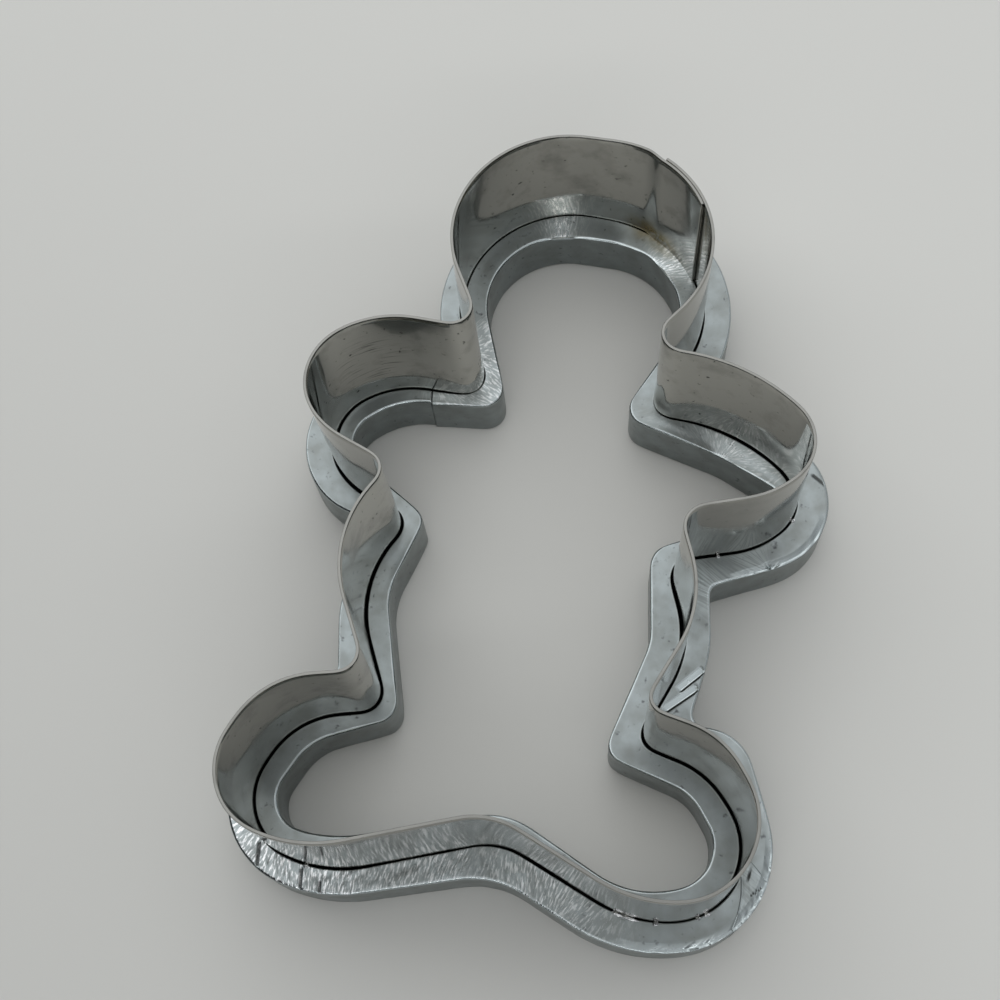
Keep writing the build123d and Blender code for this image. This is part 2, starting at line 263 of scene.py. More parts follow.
class Outline:
    """The strip's line and the bars' edges as matching points, read at any share of the way round."""

    STEP = 0.17 * MM
    SOFT_STEPS, LEAN_SOFT_STEPS = 5, 25
    # The outer bar's roundings are at least this, and at the crotch it has one of its own.
    LEAST_ROUND, CROTCH_ROUND = 2 * MM, 15 * MM
    # The head's crown was hammered out at its foot.
    CROWN_LEAN, CROWN_REACH = 0.6, 6 * MM

    def __init__(self, sizes):
        length = sizes.figure_length
        slot = sizes.strip_thickness / 2 + sizes.seam_gap
        wide = sizes.bar_width
        none = [0.0] * len(BENDS)
        middle = bend_arcs(length, 0.0, none, [concentric(b, length, 0.0) for b in BENDS])
        inner_extras = [wide * (1 - b[4]) for b in BENDS]
        inner = bend_arcs(length, -slot - wide, inner_extras, [
            concentric(b, length, -slot if b[0] in HOLLOWS else -slot - wide + e)
            for b, e in zip(BENDS, inner_extras)])
        outer_extras = [wide * (b[5] - 1) for b in BENDS]
        outer_rounds = [
            max(self.LEAST_ROUND, concentric(b, length, slot + wide + e))
            for b, e in zip(BENDS, outer_extras)]
        outer_rounds[0] = self.CROTCH_ROUND
        outer = bend_arcs(length, slot + wide, outer_extras, outer_rounds)
        counts = self.counts(middle, self.STEP)
        runs = [self.points(arcs, counts) for arcs in (middle, inner, outer)]
        leans = []
        for k, (arc, line) in enumerate(counts):
            after = BENDS[(k + 1) % len(BENDS)][6]
            leans += [BENDS[k][6]] * arc
            leans += list(np.linspace(BENDS[k][6], after, line, endpoint=False))
        centre = (runs[2].max(0) + runs[2].min(0)) / 2
        self.middle, self.inner, self.outer = [
            softened(run, self.SOFT_STEPS) - centre for run in runs]
        steps = np.linalg.norm(np.roll(self.middle, -1, 0) - self.middle, axis=1)
        self.length = steps.sum()
        self.share = np.concatenate([[0.0], np.cumsum(steps)[:-1]]) / self.length
        crown = self.CROWN_LEAN * near((self.share - CROWN) * self.length, 0, self.CROWN_REACH)
        self.lean = softened((np.array(leans) + crown) * MM, self.LEAN_SOFT_STEPS)
        along = np.roll(self.middle, -1, 0) - np.roll(self.middle, 1, 0)
        along /= np.linalg.norm(along, axis=1)[:, None]
        self.normal = np.stack([along[:, 1], -along[:, 0]], 1)
        self.slot = slot
        spots = [place for place, _, _ in SEAM]
        self.gaps = {
            side: np.interp(self.share, spots, [row[column] for row in SEAM]) * sizes.seam_gap
            for side, column in ((-1, 1), (1, 2))}

    @staticmethod
    def counts(arcs, step):
        """How many points each arc and the straight after it take at this step."""
        found = []
        for k, (first, last, centre) in enumerate(arcs):
            arc = arc_points(first, last, centre, 1)[1]
            line = np.linalg.norm(arcs[(k + 1) % len(arcs)][0] - last)
            found.append((max(6, round(arc / step)), max(2, round(line / step))))
        return found

    @staticmethod
    def points(arcs, counts):
        """The points of one outline, with the same count in each bend as in every other."""
        found = []
        for k, (first, last, centre) in enumerate(arcs):
            found.append(arc_points(first, last, centre, counts[k][0])[0])
            steps = np.arange(counts[k][1])[:, None] / counts[k][1]
            found.append(last + (arcs[(k + 1) % len(arcs)][0] - last) * steps)
        return np.vstack(found)

    def at(self, values, share):
        """The values at these shares of the way round, which may run past a full turn."""
        share = np.asarray(share) % 1.0
        grid = np.append(self.share, 1.0)
        values = np.concatenate([values, values[:1]])
        if values.ndim == 1:
            return np.interp(share, grid, values)
        columns = range(values.shape[1])
        return np.stack([np.interp(share, grid, values[:, c]) for c in columns], -1)


# mesh helpers


def wave(x, y, size, seed):
    """Smooth noise from -1 to 1 at each point, with waves about as long as the size in metres."""
    spots = np.stack([x.ravel(), y.ravel(), np.zeros(x.size)], 1) / size + seed
    return np.array([noise.noise(spot) for spot in spots]).reshape(x.shape)


def coarse_wave(rows, columns, size_rows, size_columns, seed):
    """Smooth noise on a grid, drawn coarsely and spread, with waves about so many cells long."""
    spots_r = int(rows / size_rows) + 3
    spots_c = int(columns / size_columns) + 3
    spots = np.random.default_rng(seed).uniform(-1, 1, (spots_r, spots_c))
    r = np.arange(rows) / size_rows
    c = np.arange(columns) / size_columns
    i, j = r.astype(int), c.astype(int)
    a, b = (r - i)[:, None], (c - j)[None, :]
    a, b = a * a * (3 - 2 * a), b * b * (3 - 2 * b)
    return (
        spots[i][:, j] * (1 - a) * (1 - b) + spots[i + 1][:, j] * a * (1 - b)
        + spots[i][:, j + 1] * (1 - a) * b + spots[i + 1][:, j + 1] * a * b
    )


def near(value, centre, reach):
    """A bell from 1 at the centre down to 0 well past the reach."""
    return np.exp(-((value - centre) / reach) ** 2)


def band(value, start, end, soft):
    """1 between the start and the end, falling to 0 over the soft distance."""
    return np.clip((value - start) / soft, 0, 1) * np.clip((end - value) / soft, 0, 1)


def new_object(name, data):
    """A new object in the scene."""
    made = bpy.data.objects.new(name, data)
    bpy.context.scene.collection.objects.link(made)
    return made


def grid_mesh(name, points, run, marks, closed_rows=False, closed_columns=True, caps=True):
    """An object from a grid of points, with named marks and a flat run map in metres."""
    rows, columns, _ = points.shape
    index = np.arange(rows * columns).reshape(rows, columns)
    ahead = np.roll(index, -1, 0) if closed_rows else index[1:]
    base = index if closed_rows else index[:-1]
    corners = []
    for line, shifted in ((base, False), (ahead, False), (ahead, True), (base, True)):
        if closed_columns:
            corners.append(np.roll(line, -1, 1) if shifted else line)
        else:
            corners.append(line[:, 1:] if shifted else line[:, :-1])
    faces = np.stack(corners, -1).reshape(-1, 4).tolist()
    if caps:
        faces.append(index[0].tolist())
        faces.append(index[-1][::-1].tolist())
    mesh = bpy.data.meshes.new(name)
    mesh.from_pydata(points.reshape(-1, 3).tolist(), [], faces)
    for mark, values in marks.items():
        attribute = mesh.attributes.new(mark, "FLOAT", "POINT")
        spread = np.broadcast_to(values, (rows, columns)).astype(np.float32)
        attribute.data.foreach_set("value", spread.ravel())
    layer = mesh.uv_layers.new(name="run")
    loops = np.zeros(len(mesh.loops), np.int32)
    mesh.loops.foreach_get("vertex_index", loops)
    layer.data.foreach_set("uv", run.reshape(-1, 2)[loops].astype(np.float32).ravel())
    mesh.shade_smooth()
    mesh.update()
    return new_object(name, mesh)


def dress(piece, replaced, maker, finish):
    """Puts a piece in the place of its CAD node, with the material of this maker, made once."""
    material = bpy.data.materials.get(maker.__name__) or maker(finish)
    piece.data.materials.append(material)
    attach(piece, "root")
    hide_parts(replaced)


# materials


def linear(shade):
    """An sRGB hex colour as the linear colour that Blender's nodes take."""
    parts = [int(shade[i:i + 2], 16) / 255 for i in (1, 3, 5)]
    return [c / 12.92 if c <= 0.04045 else ((c + 0.055) / 1.055) ** 2.4 for c in parts] + [1.0]


def shaded(colour, factor):
    """A linear colour made darker or brighter."""
    return [min(1.0, c * factor) for c in colour[:3]] + [1.0]


def waves(length):
    """The texture scale whose waves are this many millimetres long."""
    return 1 / (length * MM)


def feed(tree, made, inputs):
    """Gives a node its inputs, each a value, an output or a node whose first output feeds it."""
    for socket, value in inputs.items():
        if isinstance(value, bpy.types.Node):
            value = value.outputs[0]
        if isinstance(value, bpy.types.NodeSocket):
            tree.links.new(value, made.inputs[socket])
        else:
            made.inputs[socket].default_value = value


def node(tree, kind, inputs=None, **settings):
    """Adds a shader node of a kind, with its settings and its inputs."""
    made = tree.nodes.new("ShaderNode" + kind)
    for name, value in settings.items():
        setattr(made, name, value)
    feed(tree, made, inputs or {})
    return made


def painted(tree, colour, coats):
    """The colour under coats laid over it in turn, each a share and a colour."""
    for share, coat in coats:
        mixed = node(tree, "Mix", {0: share, 6: colour, 7: coat}, data_type="RGBA")
        colour = mixed.outputs[2]
    return colour


def added(tree, total, parts):
    """The total with parts added to it in turn, each a value and its factor."""
    for value, factor in parts:
        total = node(tree, "Math", {0: value, 1: factor, 2: total}, operation="MULTIPLY_ADD")
    return total


def marks_read(tree, *names):
    """The mesh's named marks as outputs, which are 0 on a mesh without them."""
    return [node(tree, "Attribute", attribute_name=name).outputs["Fac"] for name in names]


def new_material(name):
    """An empty material, its tree and its shader."""
    material = bpy.data.materials.new(name)
    material.use_nodes = True
    tree = material.node_tree
    tree.nodes.clear()
    shader = node(tree, "BsdfPrincipled")
    node(tree, "OutputMaterial", {"Surface": shader})
    return material, tree, shader


def rolled_strip_steel(finish):
    """Bright cold-rolled strip steel.

    The rolls leave a near mirror with fine lines along the strip. Handling leaves dull
    smudges and small dark pits, and the solder has browned it near the seam.
    """
    material, tree, shader = new_material("rolled_strip_steel")
    run = node(tree, "UVMap", uv_map="run")
    place = node(tree, "TexCoord").outputs["Object"]
    scratched_area, browned, outer_face_shade, edge = marks_read(tree, "scratched", "browned", "outer_face_shade", "edge")

    # Rolling lines are about 0.05 mm apart; here they are 0.25 mm so that they show.
    stretched = node(tree, "Mapping", {"Vector": run, "Scale": (waves(16.667), waves(0.25), 1)})
    lines = node(tree, "TexNoise", {"Vector": stretched, "Scale": 1.0, "Detail": 3.0})
    # Smudges are about 6 mm across.
    smudge = node(tree, "TexNoise", {
        "Vector": place, "Scale": waves(5.882), "Detail": 4.0, "Roughness": 0.6})
    smudged = node(tree, "MapRange", {"Value": smudge, "From Min": 0.5, "From Max": 0.72})
    # Pits are up to 1 mm across.
    pit = node(tree, "TexNoise", {"Vector": place, "Scale": waves(1.1111)})
    pitted = node(tree, "MapRange", {"Value": pit, "From Min": 0.68, "From Max": 0.76})
    # Scratches inside the left arm run along the strip, 0.4 mm apart and 6 mm long.
    along = node(tree, "Mapping", {"Vector": run, "Scale": (waves(6.25), waves(0.4348), 1)})
    scratch = node(tree, "TexNoise", {"Vector": along, "Scale": 1.0})
    sharp = node(tree, "MapRange", {"Value": scratch, "From Min": 0.55, "From Max": 0.7})
    scratched = node(tree, "Math", {0: sharp, 1: scratched_area}, operation="MULTIPLY")
    # The brown stain has spots of about 2 mm.
    stain = node(tree, "TexNoise", {
        "Vector": place, "Scale": waves(2.381), "Detail": 5.0, "Roughness": 0.7})
    stained = node(tree, "MapRange", {"Value": stain, "From Min": 0.36, "From Max": 0.52})
    brown = node(tree, "Math", {0: stained, 1: browned}, operation="MULTIPLY")

    steel = linear(finish.strip_colour)
    # The outer face is darkened all over as painted shade, and the sheared edge is duller still.
    colour = painted(tree, steel, (
        (smudged, shaded(steel, 0.72)), (pitted, linear("#4A4946")), (scratched, linear("#62615E")),
        (brown, linear("#96824A")), (outer_face_shade, shaded(steel, 0.68)), (edge, linear("#8A8A86"))))
    rough = added(tree, finish.strip_roughness, (
        (smudged, 0.12), (lines, 0.03), (brown, 0.25), (edge, 0.35)))
    height = added(tree, lines, ((scratched, -2.0),))
    bump = node(tree, "Bump", {"Height": height, "Strength": 0.25, "Distance": 0.004 * MM})
    feed(tree, shader, {"Base Color": colour, "Metallic": 1.0, "Roughness": rough, "Normal": bump})
    return material


def zinc_plated_steel(name, colour, finish):
    """Zinc-plated steel, bent cold and dressed with a file.

    The plating is a soft blue-grey satin, mottled where it is thin. The rims, the gouges'
    gentle sides and a few patches of the inner bar's top are brightened as painted highlight,
    the gouges' steep sides carry painted shadow, and the filed and hammered stretches have
    painted glints.
    """
    material, tree, shader = new_material(name)
    run = node(tree, "UVMap", uv_map="run")
    place = node(tree, "TexCoord").outputs["Object"]
    filed, ground, rim, browned, dark = marks_read(tree, "filed", "ground", "rim", "browned", "dark")

    # The plating's mottling is about 4 mm across.
    mottle = node(tree, "TexNoise", {
        "Vector": place, "Scale": waves(3.846), "Detail": 4.0, "Roughness": 0.55})
    mottled = node(tree, "MapRange", {"Value": mottle, "From Min": 0.35, "From Max": 0.68})
    # Its grain is about 0.1 mm; here it is 0.36 mm so that it shows.
    grain = node(tree, "TexNoise", {
        "Vector": place, "Scale": waves(0.35714), "Detail": 3.0, "Roughness": 0.6})
    # Small dents and spots are about 1 mm across.
    spot = node(tree, "TexNoise", {"Vector": place, "Scale": waves(1.1765)})
    spotted = node(tree, "MapRange", {"Value": spot, "From Min": 0.66, "From Max": 0.78})
    # File strokes cross the bar, 0.3 mm apart and 1.6 mm long.
    crossing = node(tree, "Mapping", {"Vector": run, "Scale": (waves(1 / 3), waves(1.6129), 1)})
    strokes = node(tree, "TexNoise", {
        "Vector": crossing, "Scale": 1.0, "Detail": 3.0, "Roughness": 0.6})
    glints = node(tree, "MapRange", {"Value": strokes, "From Min": 0.5, "From Max": 0.6})
    # Painted highlight: the file strokes get near-white glints, and so do the inner bar's bright patches
    # through its filed mark.
    glinting = node(tree, "Math", {0: glints, 1: filed}, operation="MULTIPLY")
    # The ground patch has straight lines across the bar, 0.3 mm apart and 6 mm long.
    straight = node(tree, "Mapping", {"Vector": run, "Scale": (waves(0.3125), waves(6.25), 1)})
    lines = node(tree, "TexNoise", {"Vector": straight, "Scale": 1.0})
    streaks = node(tree, "MapRange", {"Value": lines, "From Min": 0.4, "From Max": 0.55})
    streaked = node(tree, "Math", {0: streaks, 1: ground}, operation="MULTIPLY")
    # The rim mark paints highlight on the rims and the other bright spots, and the file and the grinder
    # leave the metal brighter.
    painted_highlight = node(tree, "Math", {0: rim, 1: 0.7}, operation="MULTIPLY")
    dressed = node(tree, "Math", {0: filed, 1: ground}, operation="MAXIMUM")
    dressed = node(tree, "Math", {0: dressed, 1: 0.25}, operation="MULTIPLY")
    dressed = node(tree, "Math", {0: streaked, 1: dressed}, operation="MAXIMUM")
    brown = node(tree, "Math", {0: mottled, 1: browned}, operation="MULTIPLY")

    zinc = linear(colour)
    thin = [zinc[0] * 0.82, zinc[1] * 0.8, zinc[2] * 0.77, 1.0]
    bright = shaded(zinc, 1.9)
    # The dark mark darkens the saw cuts, the burrs and the pits, and paints shadow along the gouges' steep
    # sides.
    coated = painted(tree, zinc, (
        (mottled, thin), (spotted, linear("#5C5F61")), (painted_highlight, bright), (dressed, bright),
        (brown, linear("#7F7350")), (glinting, linear("#F0F2F3")), (dark, linear("#2E2E2D"))))
    rough = added(tree, finish.bar_roughness, ((mottled, 0.08), (grain, 0.06), (rim, -0.16)))
    stroke_height = node(tree, "Math", {0: strokes, 1: filed}, operation="MULTIPLY")
    line_height = node(tree, "Math", {0: lines, 1: ground}, operation="MULTIPLY")
    height = added(tree, 0.0, ((grain, 0.12), (stroke_height, 1.3), (line_height, 0.6), (spotted, -0.25)))
    bump = node(tree, "Bump", {"Height": height, "Strength": 0.6, "Distance": 0.12 * MM})
    feed(tree, shader, {"Base Color": coated, "Metallic": 1.0, "Roughness": rough, "Normal": bump})
    return material


def zinc_plated_bar(finish):
    """The frame bars' finish."""
    return zinc_plated_steel("zinc_plated_bar", finish.bar_colour, finish)


def ground_weld_fill(finish):
    """Weld metal ground back by hand and plated with the bars, so it looks like them but for its pits."""
    return zinc_plated_steel("ground_weld_fill", finish.fill_colour, finish)


def soft_solder(finish):
    """Soft solder that froze as it ran: bright, smooth and slightly wrinkled, greyer in its folds."""
    material, tree, shader = new_material("soft_solder")
    place = node(tree, "TexCoord").outputs["Object"]
    # Wrinkles are about 0.4 mm apart.
    fold = node(tree, "TexNoise", {"Vector": place, "Scale": waves(0.41667), "Detail": 3.0})
    folded = node(tree, "MapRange", {"Value": fold, "From Min": 0.5, "From Max": 0.7})
    colour = painted(tree, linear(finish.solder_colour), ((folded, linear("#7C7E80")),))
    rough = node(tree, "MapRange", {"Value": fold, "To Min": 0.18, "To Max": 0.38})
    bump = node(tree, "Bump", {"Height": fold, "Strength": 0.4, "Distance": 0.08 * MM})
    feed(tree, shader, {"Base Color": colour, "Metallic": 1.0, "Roughness": rough, "Normal": bump})
    return material


# pieces


def set_out(scene):
    """The scene's sizes and finish, and the outline set out from the sizes."""
    return scene.cutter_sizes, scene.cutter_finish, Outline(scene.cutter_sizes)


def bar_profile(sizes, across_count):
    """The cross-section of a bar, as arrays of distance from the slot and height.

    Distances are given as a share of the width and a plain part, so that the rims keep
    their rounding where the bar is wider. It starts at the slot's foot and goes up over
    the top, down the outer wall and back under the foot. Each point also has its mark of
    how much painted highlight the rim gets there.
    """
    high, rim, slot_round = sizes.bar_height, sizes.rim_round, sizes.slot_round
    slot_highlight, foot_highlight = 0.4, 0.3
    points = [(0.0, 0.0, height, 0.0) for height in np.linspace(0, high - slot_round, 4)]
    for angle in np.linspace(0, math.pi / 2, 5)[1:]:
        c, s = math.cos(angle), math.sin(angle)
        points.append((0.0, slot_round * (1 - c), high - slot_round * (1 - s), slot_highlight))
    for share in np.linspace(0, 1, across_count)[1:]:
        points.append((share, slot_round * (1 - share) - rim * share, high, 0.0))
    for angle in np.linspace(0, math.pi / 2, 9)[1:]:
        c, s = math.cos(angle), math.sin(angle)
        points.append((1.0, -rim * (1 - s), high - rim * (1 - c), math.sin(2 * angle)))
    points += [(1.0, 0.0, height, 0.0) for height in np.linspace(high - rim, rim, 12)[1:]]
    for angle in np.linspace(0, math.pi / 2, 6)[1:]:
        c, s = math.cos(angle), math.sin(angle)
        points.append((1.0, -rim * (1 - c), rim * (1 - s), foot_highlight))
    points.append((0.5, 0.0, 0.0, 0.0))
    return np.array(points).T


def bar_points(outline, sizes, rim_edge, side, start, end, rows, across_count):
    """The grid of a bar's surface from a start to an end, with its points' places and distances.

    The start and the end each have their place at the seam and at the rim.
    """
    shares, plains, heights, painted_highlight = bar_profile(sizes, across_count)
    step = np.linspace(0, 1, rows)[:, None]
    first, last = [seam + (rim - seam) * shares[None, :] for seam, rim in (start, end)]
    places = first * (1 - step) + last * step
    lean = outline.at(outline.lean, places)[..., None]
    normal = outline.at(outline.normal, places)
    gap = outline.at(outline.gaps[side], places)[..., None] + sizes.strip_thickness / 2
    slot = outline.at(outline.middle, places) + normal * (side * gap + lean)
    rim = outline.at(rim_edge, places)
    width = np.linalg.norm(rim - slot, axis=-1)
    distance = shares * width + plains
    flat = slot + (rim - slot) / width[..., None] * distance[..., None]
    points = np.concatenate([flat, np.broadcast_to(heights, places.shape)[..., None]], -1)
    return points, places, distance, width, np.broadcast_to(painted_highlight, places.shape)


def top_mask(sizes, points):
    """1 on the top of a bar and its upper rounding, 0 elsewhere."""
    return np.clip((points[..., 2] - (sizes.bar_height - sizes.rim_round)) / sizes.rim_round, 0, 1)


def rim_slant(distance, width):
    """1 on the outermost stretch of a bar's top, falling to 0 towards its middle."""
    start, ramp = 1.5 * MM, 1 * MM
    return np.clip((distance - width + start) / ramp, 0, 1)


class CUTTER_OT_strip(bpy.types.Operator):
    """Builds the thin cutting strip on edge, with its ends lapped at the head"""

    bl_idname = "cutter.strip"
    bl_label = "Cutting strip"

    def execute(self, context):
        sizes, finish, outline = set_out(context.scene)
        half = sizes.strip_thickness / 2
        # The strip starts inside the lap, goes right round the figure and ends outside,
        # where its end has sprung out a little.
        rows, lap_gap, lap_ramp, spring, spring_reach = 2600, 0.06 * MM, 4 * MM, 0.08 * MM, 3 * MM
        places = np.linspace(LAP_FROM, LAP_TO + 1, rows)
        way = places * outline.length
        past_lap = way - LAP_TO * outline.length
        inside = 1 - np.clip(past_lap / lap_ramp, 0, 1)
        inside = inside * inside * (3 - 2 * inside)
        offset = -inside * (sizes.strip_thickness + lap_gap) + spring * near(way[-1] - way, 0, spring_reach)

        top, foot, bevel = sizes.cutter_height, sizes.strip_lift, sizes.strip_bevel
        heights = np.linspace(foot, top - bevel, 26)
        profile = [(-half, z) for z in heights] + [(side * (half - wide * bevel), top) for side, wide in (
            (-1, 1.0), (-1, 1.5), (1, 1.5), (1, 1.0))]
        profile += [(half, z) for z in heights[::-1]]
        across, z = np.array(profile).T

        lean = outline.at(outline.lean, places)[:, None]
        drop = np.clip((top - z) / (top - sizes.bar_height), 0, 1)[None, :]
        shift = offset[:, None] + across[None, :] + lean * drop
        # The strip is dented at both sides of the neck, just above the bars.
        dent_depth, dent_reach, dent_height, dent_rise = 0.45 * MM, 1.7 * MM, 12.5 * MM, 2.6 * MM
        for dent in NECK_DENTS:
            off = ((places - dent + 0.5) % 1.0 - 0.5)[:, None] * outline.length
            dented = near(off, 0, dent_reach) * near(z[None, :], dent_height, dent_rise)
            shift = shift - dent_depth * dented
        # It isn't quite flat, but for its upper edge, which dips a little here and there.
        unflat, flat_edge, dip, edge_height = 0.035 * MM, 4 * MM, 0.12 * MM, 1 * MM
        slow = coarse_wave(rows, len(heights), 110, 9, 5) * unflat
        slow = np.concatenate([slow] + [slow[:, -1:]] * 4 + [slow[:, ::-1]], 1)
        shift = shift + slow * np.clip((top - z) / flat_edge, 0, 1)[None, :]
        normal = outline.at(outline.normal, places)[:, None, :]
        flat = outline.at(outline.middle, places)[:, None, :] + normal * shift[..., None]
        dips = dip * coarse_wave(rows, 1, 160, 4, 11)
        height = z[None, :] - np.clip(dips, 0, 1)[:, :1] * (z > top - edge_height)
        points = np.concatenate([flat, np.broadcast_to(height, flat.shape[:2])[..., None]], -1)
        run = np.stack(np.broadcast_arrays(way[:, None], z[None, :]), -1)
        inner_face = (across < 0)[None, :]
        share = (places % 1.0)[:, None]
        scratched_height = band(z, 13 * MM, 31 * MM, 5 * MM)[None, :]
        browned_height = near(z, 11.5 * MM, 2.2 * MM)[None, :]
        marks = {
            "scratched": band(share, 0.652, 0.690, 0.01) * scratched_height * inner_face,
            "browned": near(share, 0.479, 0.012) * browned_height * inner_face,
            # Painted shade: the whole outer face is darkened.
            "outer_face_shade": 0.75 * (across > 0)[None, :],
            "edge": (z > top - bevel / 2)[None, :] * 1.0,
        }
        piece = grid_mesh("strip_on_edge", points, run, marks)
        dress(piece, "cutting_blade", rolled_strip_steel, finish)
        return {"FINISHED"}


class CUTTER_OT_inner_bar(bpy.types.Operator):
    """Builds the inner flat bar, whose two ends meet in the left arm"""

    bl_idname = "cutter.inner_bar"
    bl_label = "Inner bar"

    def execute(self, context):
        sizes, finish, outline = set_out(context.scene)
        gap = 0.04 * MM / outline.length
        points, places, distance, width, painted_highlight = bar_points(
            outline, sizes, outline.inner, -1,
            (BUTT_PLACE + gap,) * 2, (BUTT_PLACE + 1 - gap,) * 2, 2300, 22)
        mask = top_mask(sizes, points)
        share = places % 1.0
        rows, columns = places.shape
        wall = (distance > width * 0.9)[..., None]
        # The end towards the neck stands a little further in and lower than the other.
        end_reach, end_shift, end_drop = 7 * MM, 0.35 * MM, 0.12 * MM
        end = np.clip(1 - (BUTT_PLACE + 1 - places) * outline.length / end_reach, 0, 1) ** 2
        inwards = -outline.at(outline.normal, places)
        points[..., :2] += inwards * end_shift * (end * (distance > width * 0.5))[..., None]
        points[..., 2] -= end * end_drop * mask
        # The top and the wall aren't quite flat, and lie this far within their full size.
        top_drop, top_waves, wall_drop, wall_waves = 0.05 * MM, 0.05 * MM, 0.03 * MM, 0.02 * MM
        points[..., 2] -= mask * (top_drop + top_waves * coarse_wave(rows, columns, 70, 12, 21))
        for place, reach, slope in TWISTS:
            points[..., 2] -= mask * slope * np.clip(distance, 0, None) * near(share, place, reach)
        rough_wall = coarse_wave(rows, columns, 9, 5, 24)[..., None] * wall_waves - wall_drop
        points[..., :2] += inwards * rough_wall * wall
        # Painted highlight: patches of the top are brightened through the rim and filed marks.
        patch_highlight = sum(bright * near(share, place, reach) for place, reach, bright in HIGHLIGHT_PATCHES) * mask
        marks = {
            "rim": np.maximum(painted_highlight, 0.8 * patch_highlight),
            "filed": np.maximum(0.5 * band(share, 0.60, 0.648, 0.01) * mask, patch_highlight),
            "browned": near(share, 0.478, 0.012) * near(distance, 0, 1.6 * MM) * mask,
        }
        run = np.stack([places * outline.length, distance], -1)
        piece = grid_mesh("bar_inside", points, run, marks)
        dress(piece, "inner_frame_bar", zinc_plated_bar, finish)
        return {"FINISHED"}


def from_place(outline, points, place):
    """How far each point lies along and out from the strip's line at a place."""
    normal = outline.at(outline.normal, place)
    way = points[..., :2] - outline.at(outline.middle, place)
    return way @ np.array((-normal[1], normal[0])), way @ normal


def turned(outline, points, place, middle, turn):
    """How far each point lies lengthways and sideways from a turned groove's middle."""
    along, out = from_place(outline, points, place)
    across = out - middle * MM
    c, s = math.cos(math.radians(turn)), math.sin(math.radians(turn))
    return along * c - across * s, along * s + across * c


def gouged(outline, points):
    """How deep the chiselled gouges and the saw cuts are at each point, how dark with the gouges' painted
    shadow, and how bright with their painted highlight.
    """
    depth, dark, bright = (np.zeros(points.shape[:2]) for _ in range(3))
    gouge_half, gouge_deep, end_start, end_reach = 0.85 * MM, 0.35 * MM, 0.7 * MM, 0.8 * MM
    for place, middle, length, turn in GOUGES:
        lengthways, sideways = turned(outline, points, place, middle, turn)
        sideways = sideways / gouge_half
        past = np.clip(np.abs(lengthways) - (length / 2 * MM - end_start), 0, None) / end_reach
        # The chisel leaned, so one side of the groove is gentle and the other steep.
        slope = np.where(sideways < 0.6, (sideways + 1) / 1.6, (1 - sideways) / 0.4)
        hole = np.clip(slope, 0, 1) * np.clip(1 - past ** 2, 0, 1) ** 0.5
        depth += gouge_deep * hole
        # Painted highlight on each gouge's gentle side, and painted shadow along its steep side.
        bright = np.maximum(bright, np.clip(hole * 3, 0, 1) * (sideways < 0.65))
        dark = np.maximum(dark, near(sideways, 0.85, 0.14) * (past < 0.8))
    cut_reach, cut_end, cut_deep = 0.17 * MM, 0.3 * MM, 0.28 * MM
    for place, middle, length, turn in SAW_CUTS:
        lengthways, sideways = turned(outline, points, place, middle, turn)
        line = near(sideways, 0, cut_reach) * band(np.abs(lengthways), -1, length / 2 * MM, cut_end)
        depth += cut_deep * line
        dark = np.maximum(dark, line)
    # Burrs stand black along the rim next to the first cut.
    burr_out, burr_long, burr_wide, burr_high = 4.4 * MM, 0.2 * MM, 0.22 * MM, 0.1 * MM
    for place in BURRS:
        along, out = from_place(outline, points, place)
        burr = near(along, 0, burr_long) * near(out, burr_out, burr_wide)
        depth -= burr_high * burr
        dark = np.maximum(dark, burr)
    return depth, dark, bright


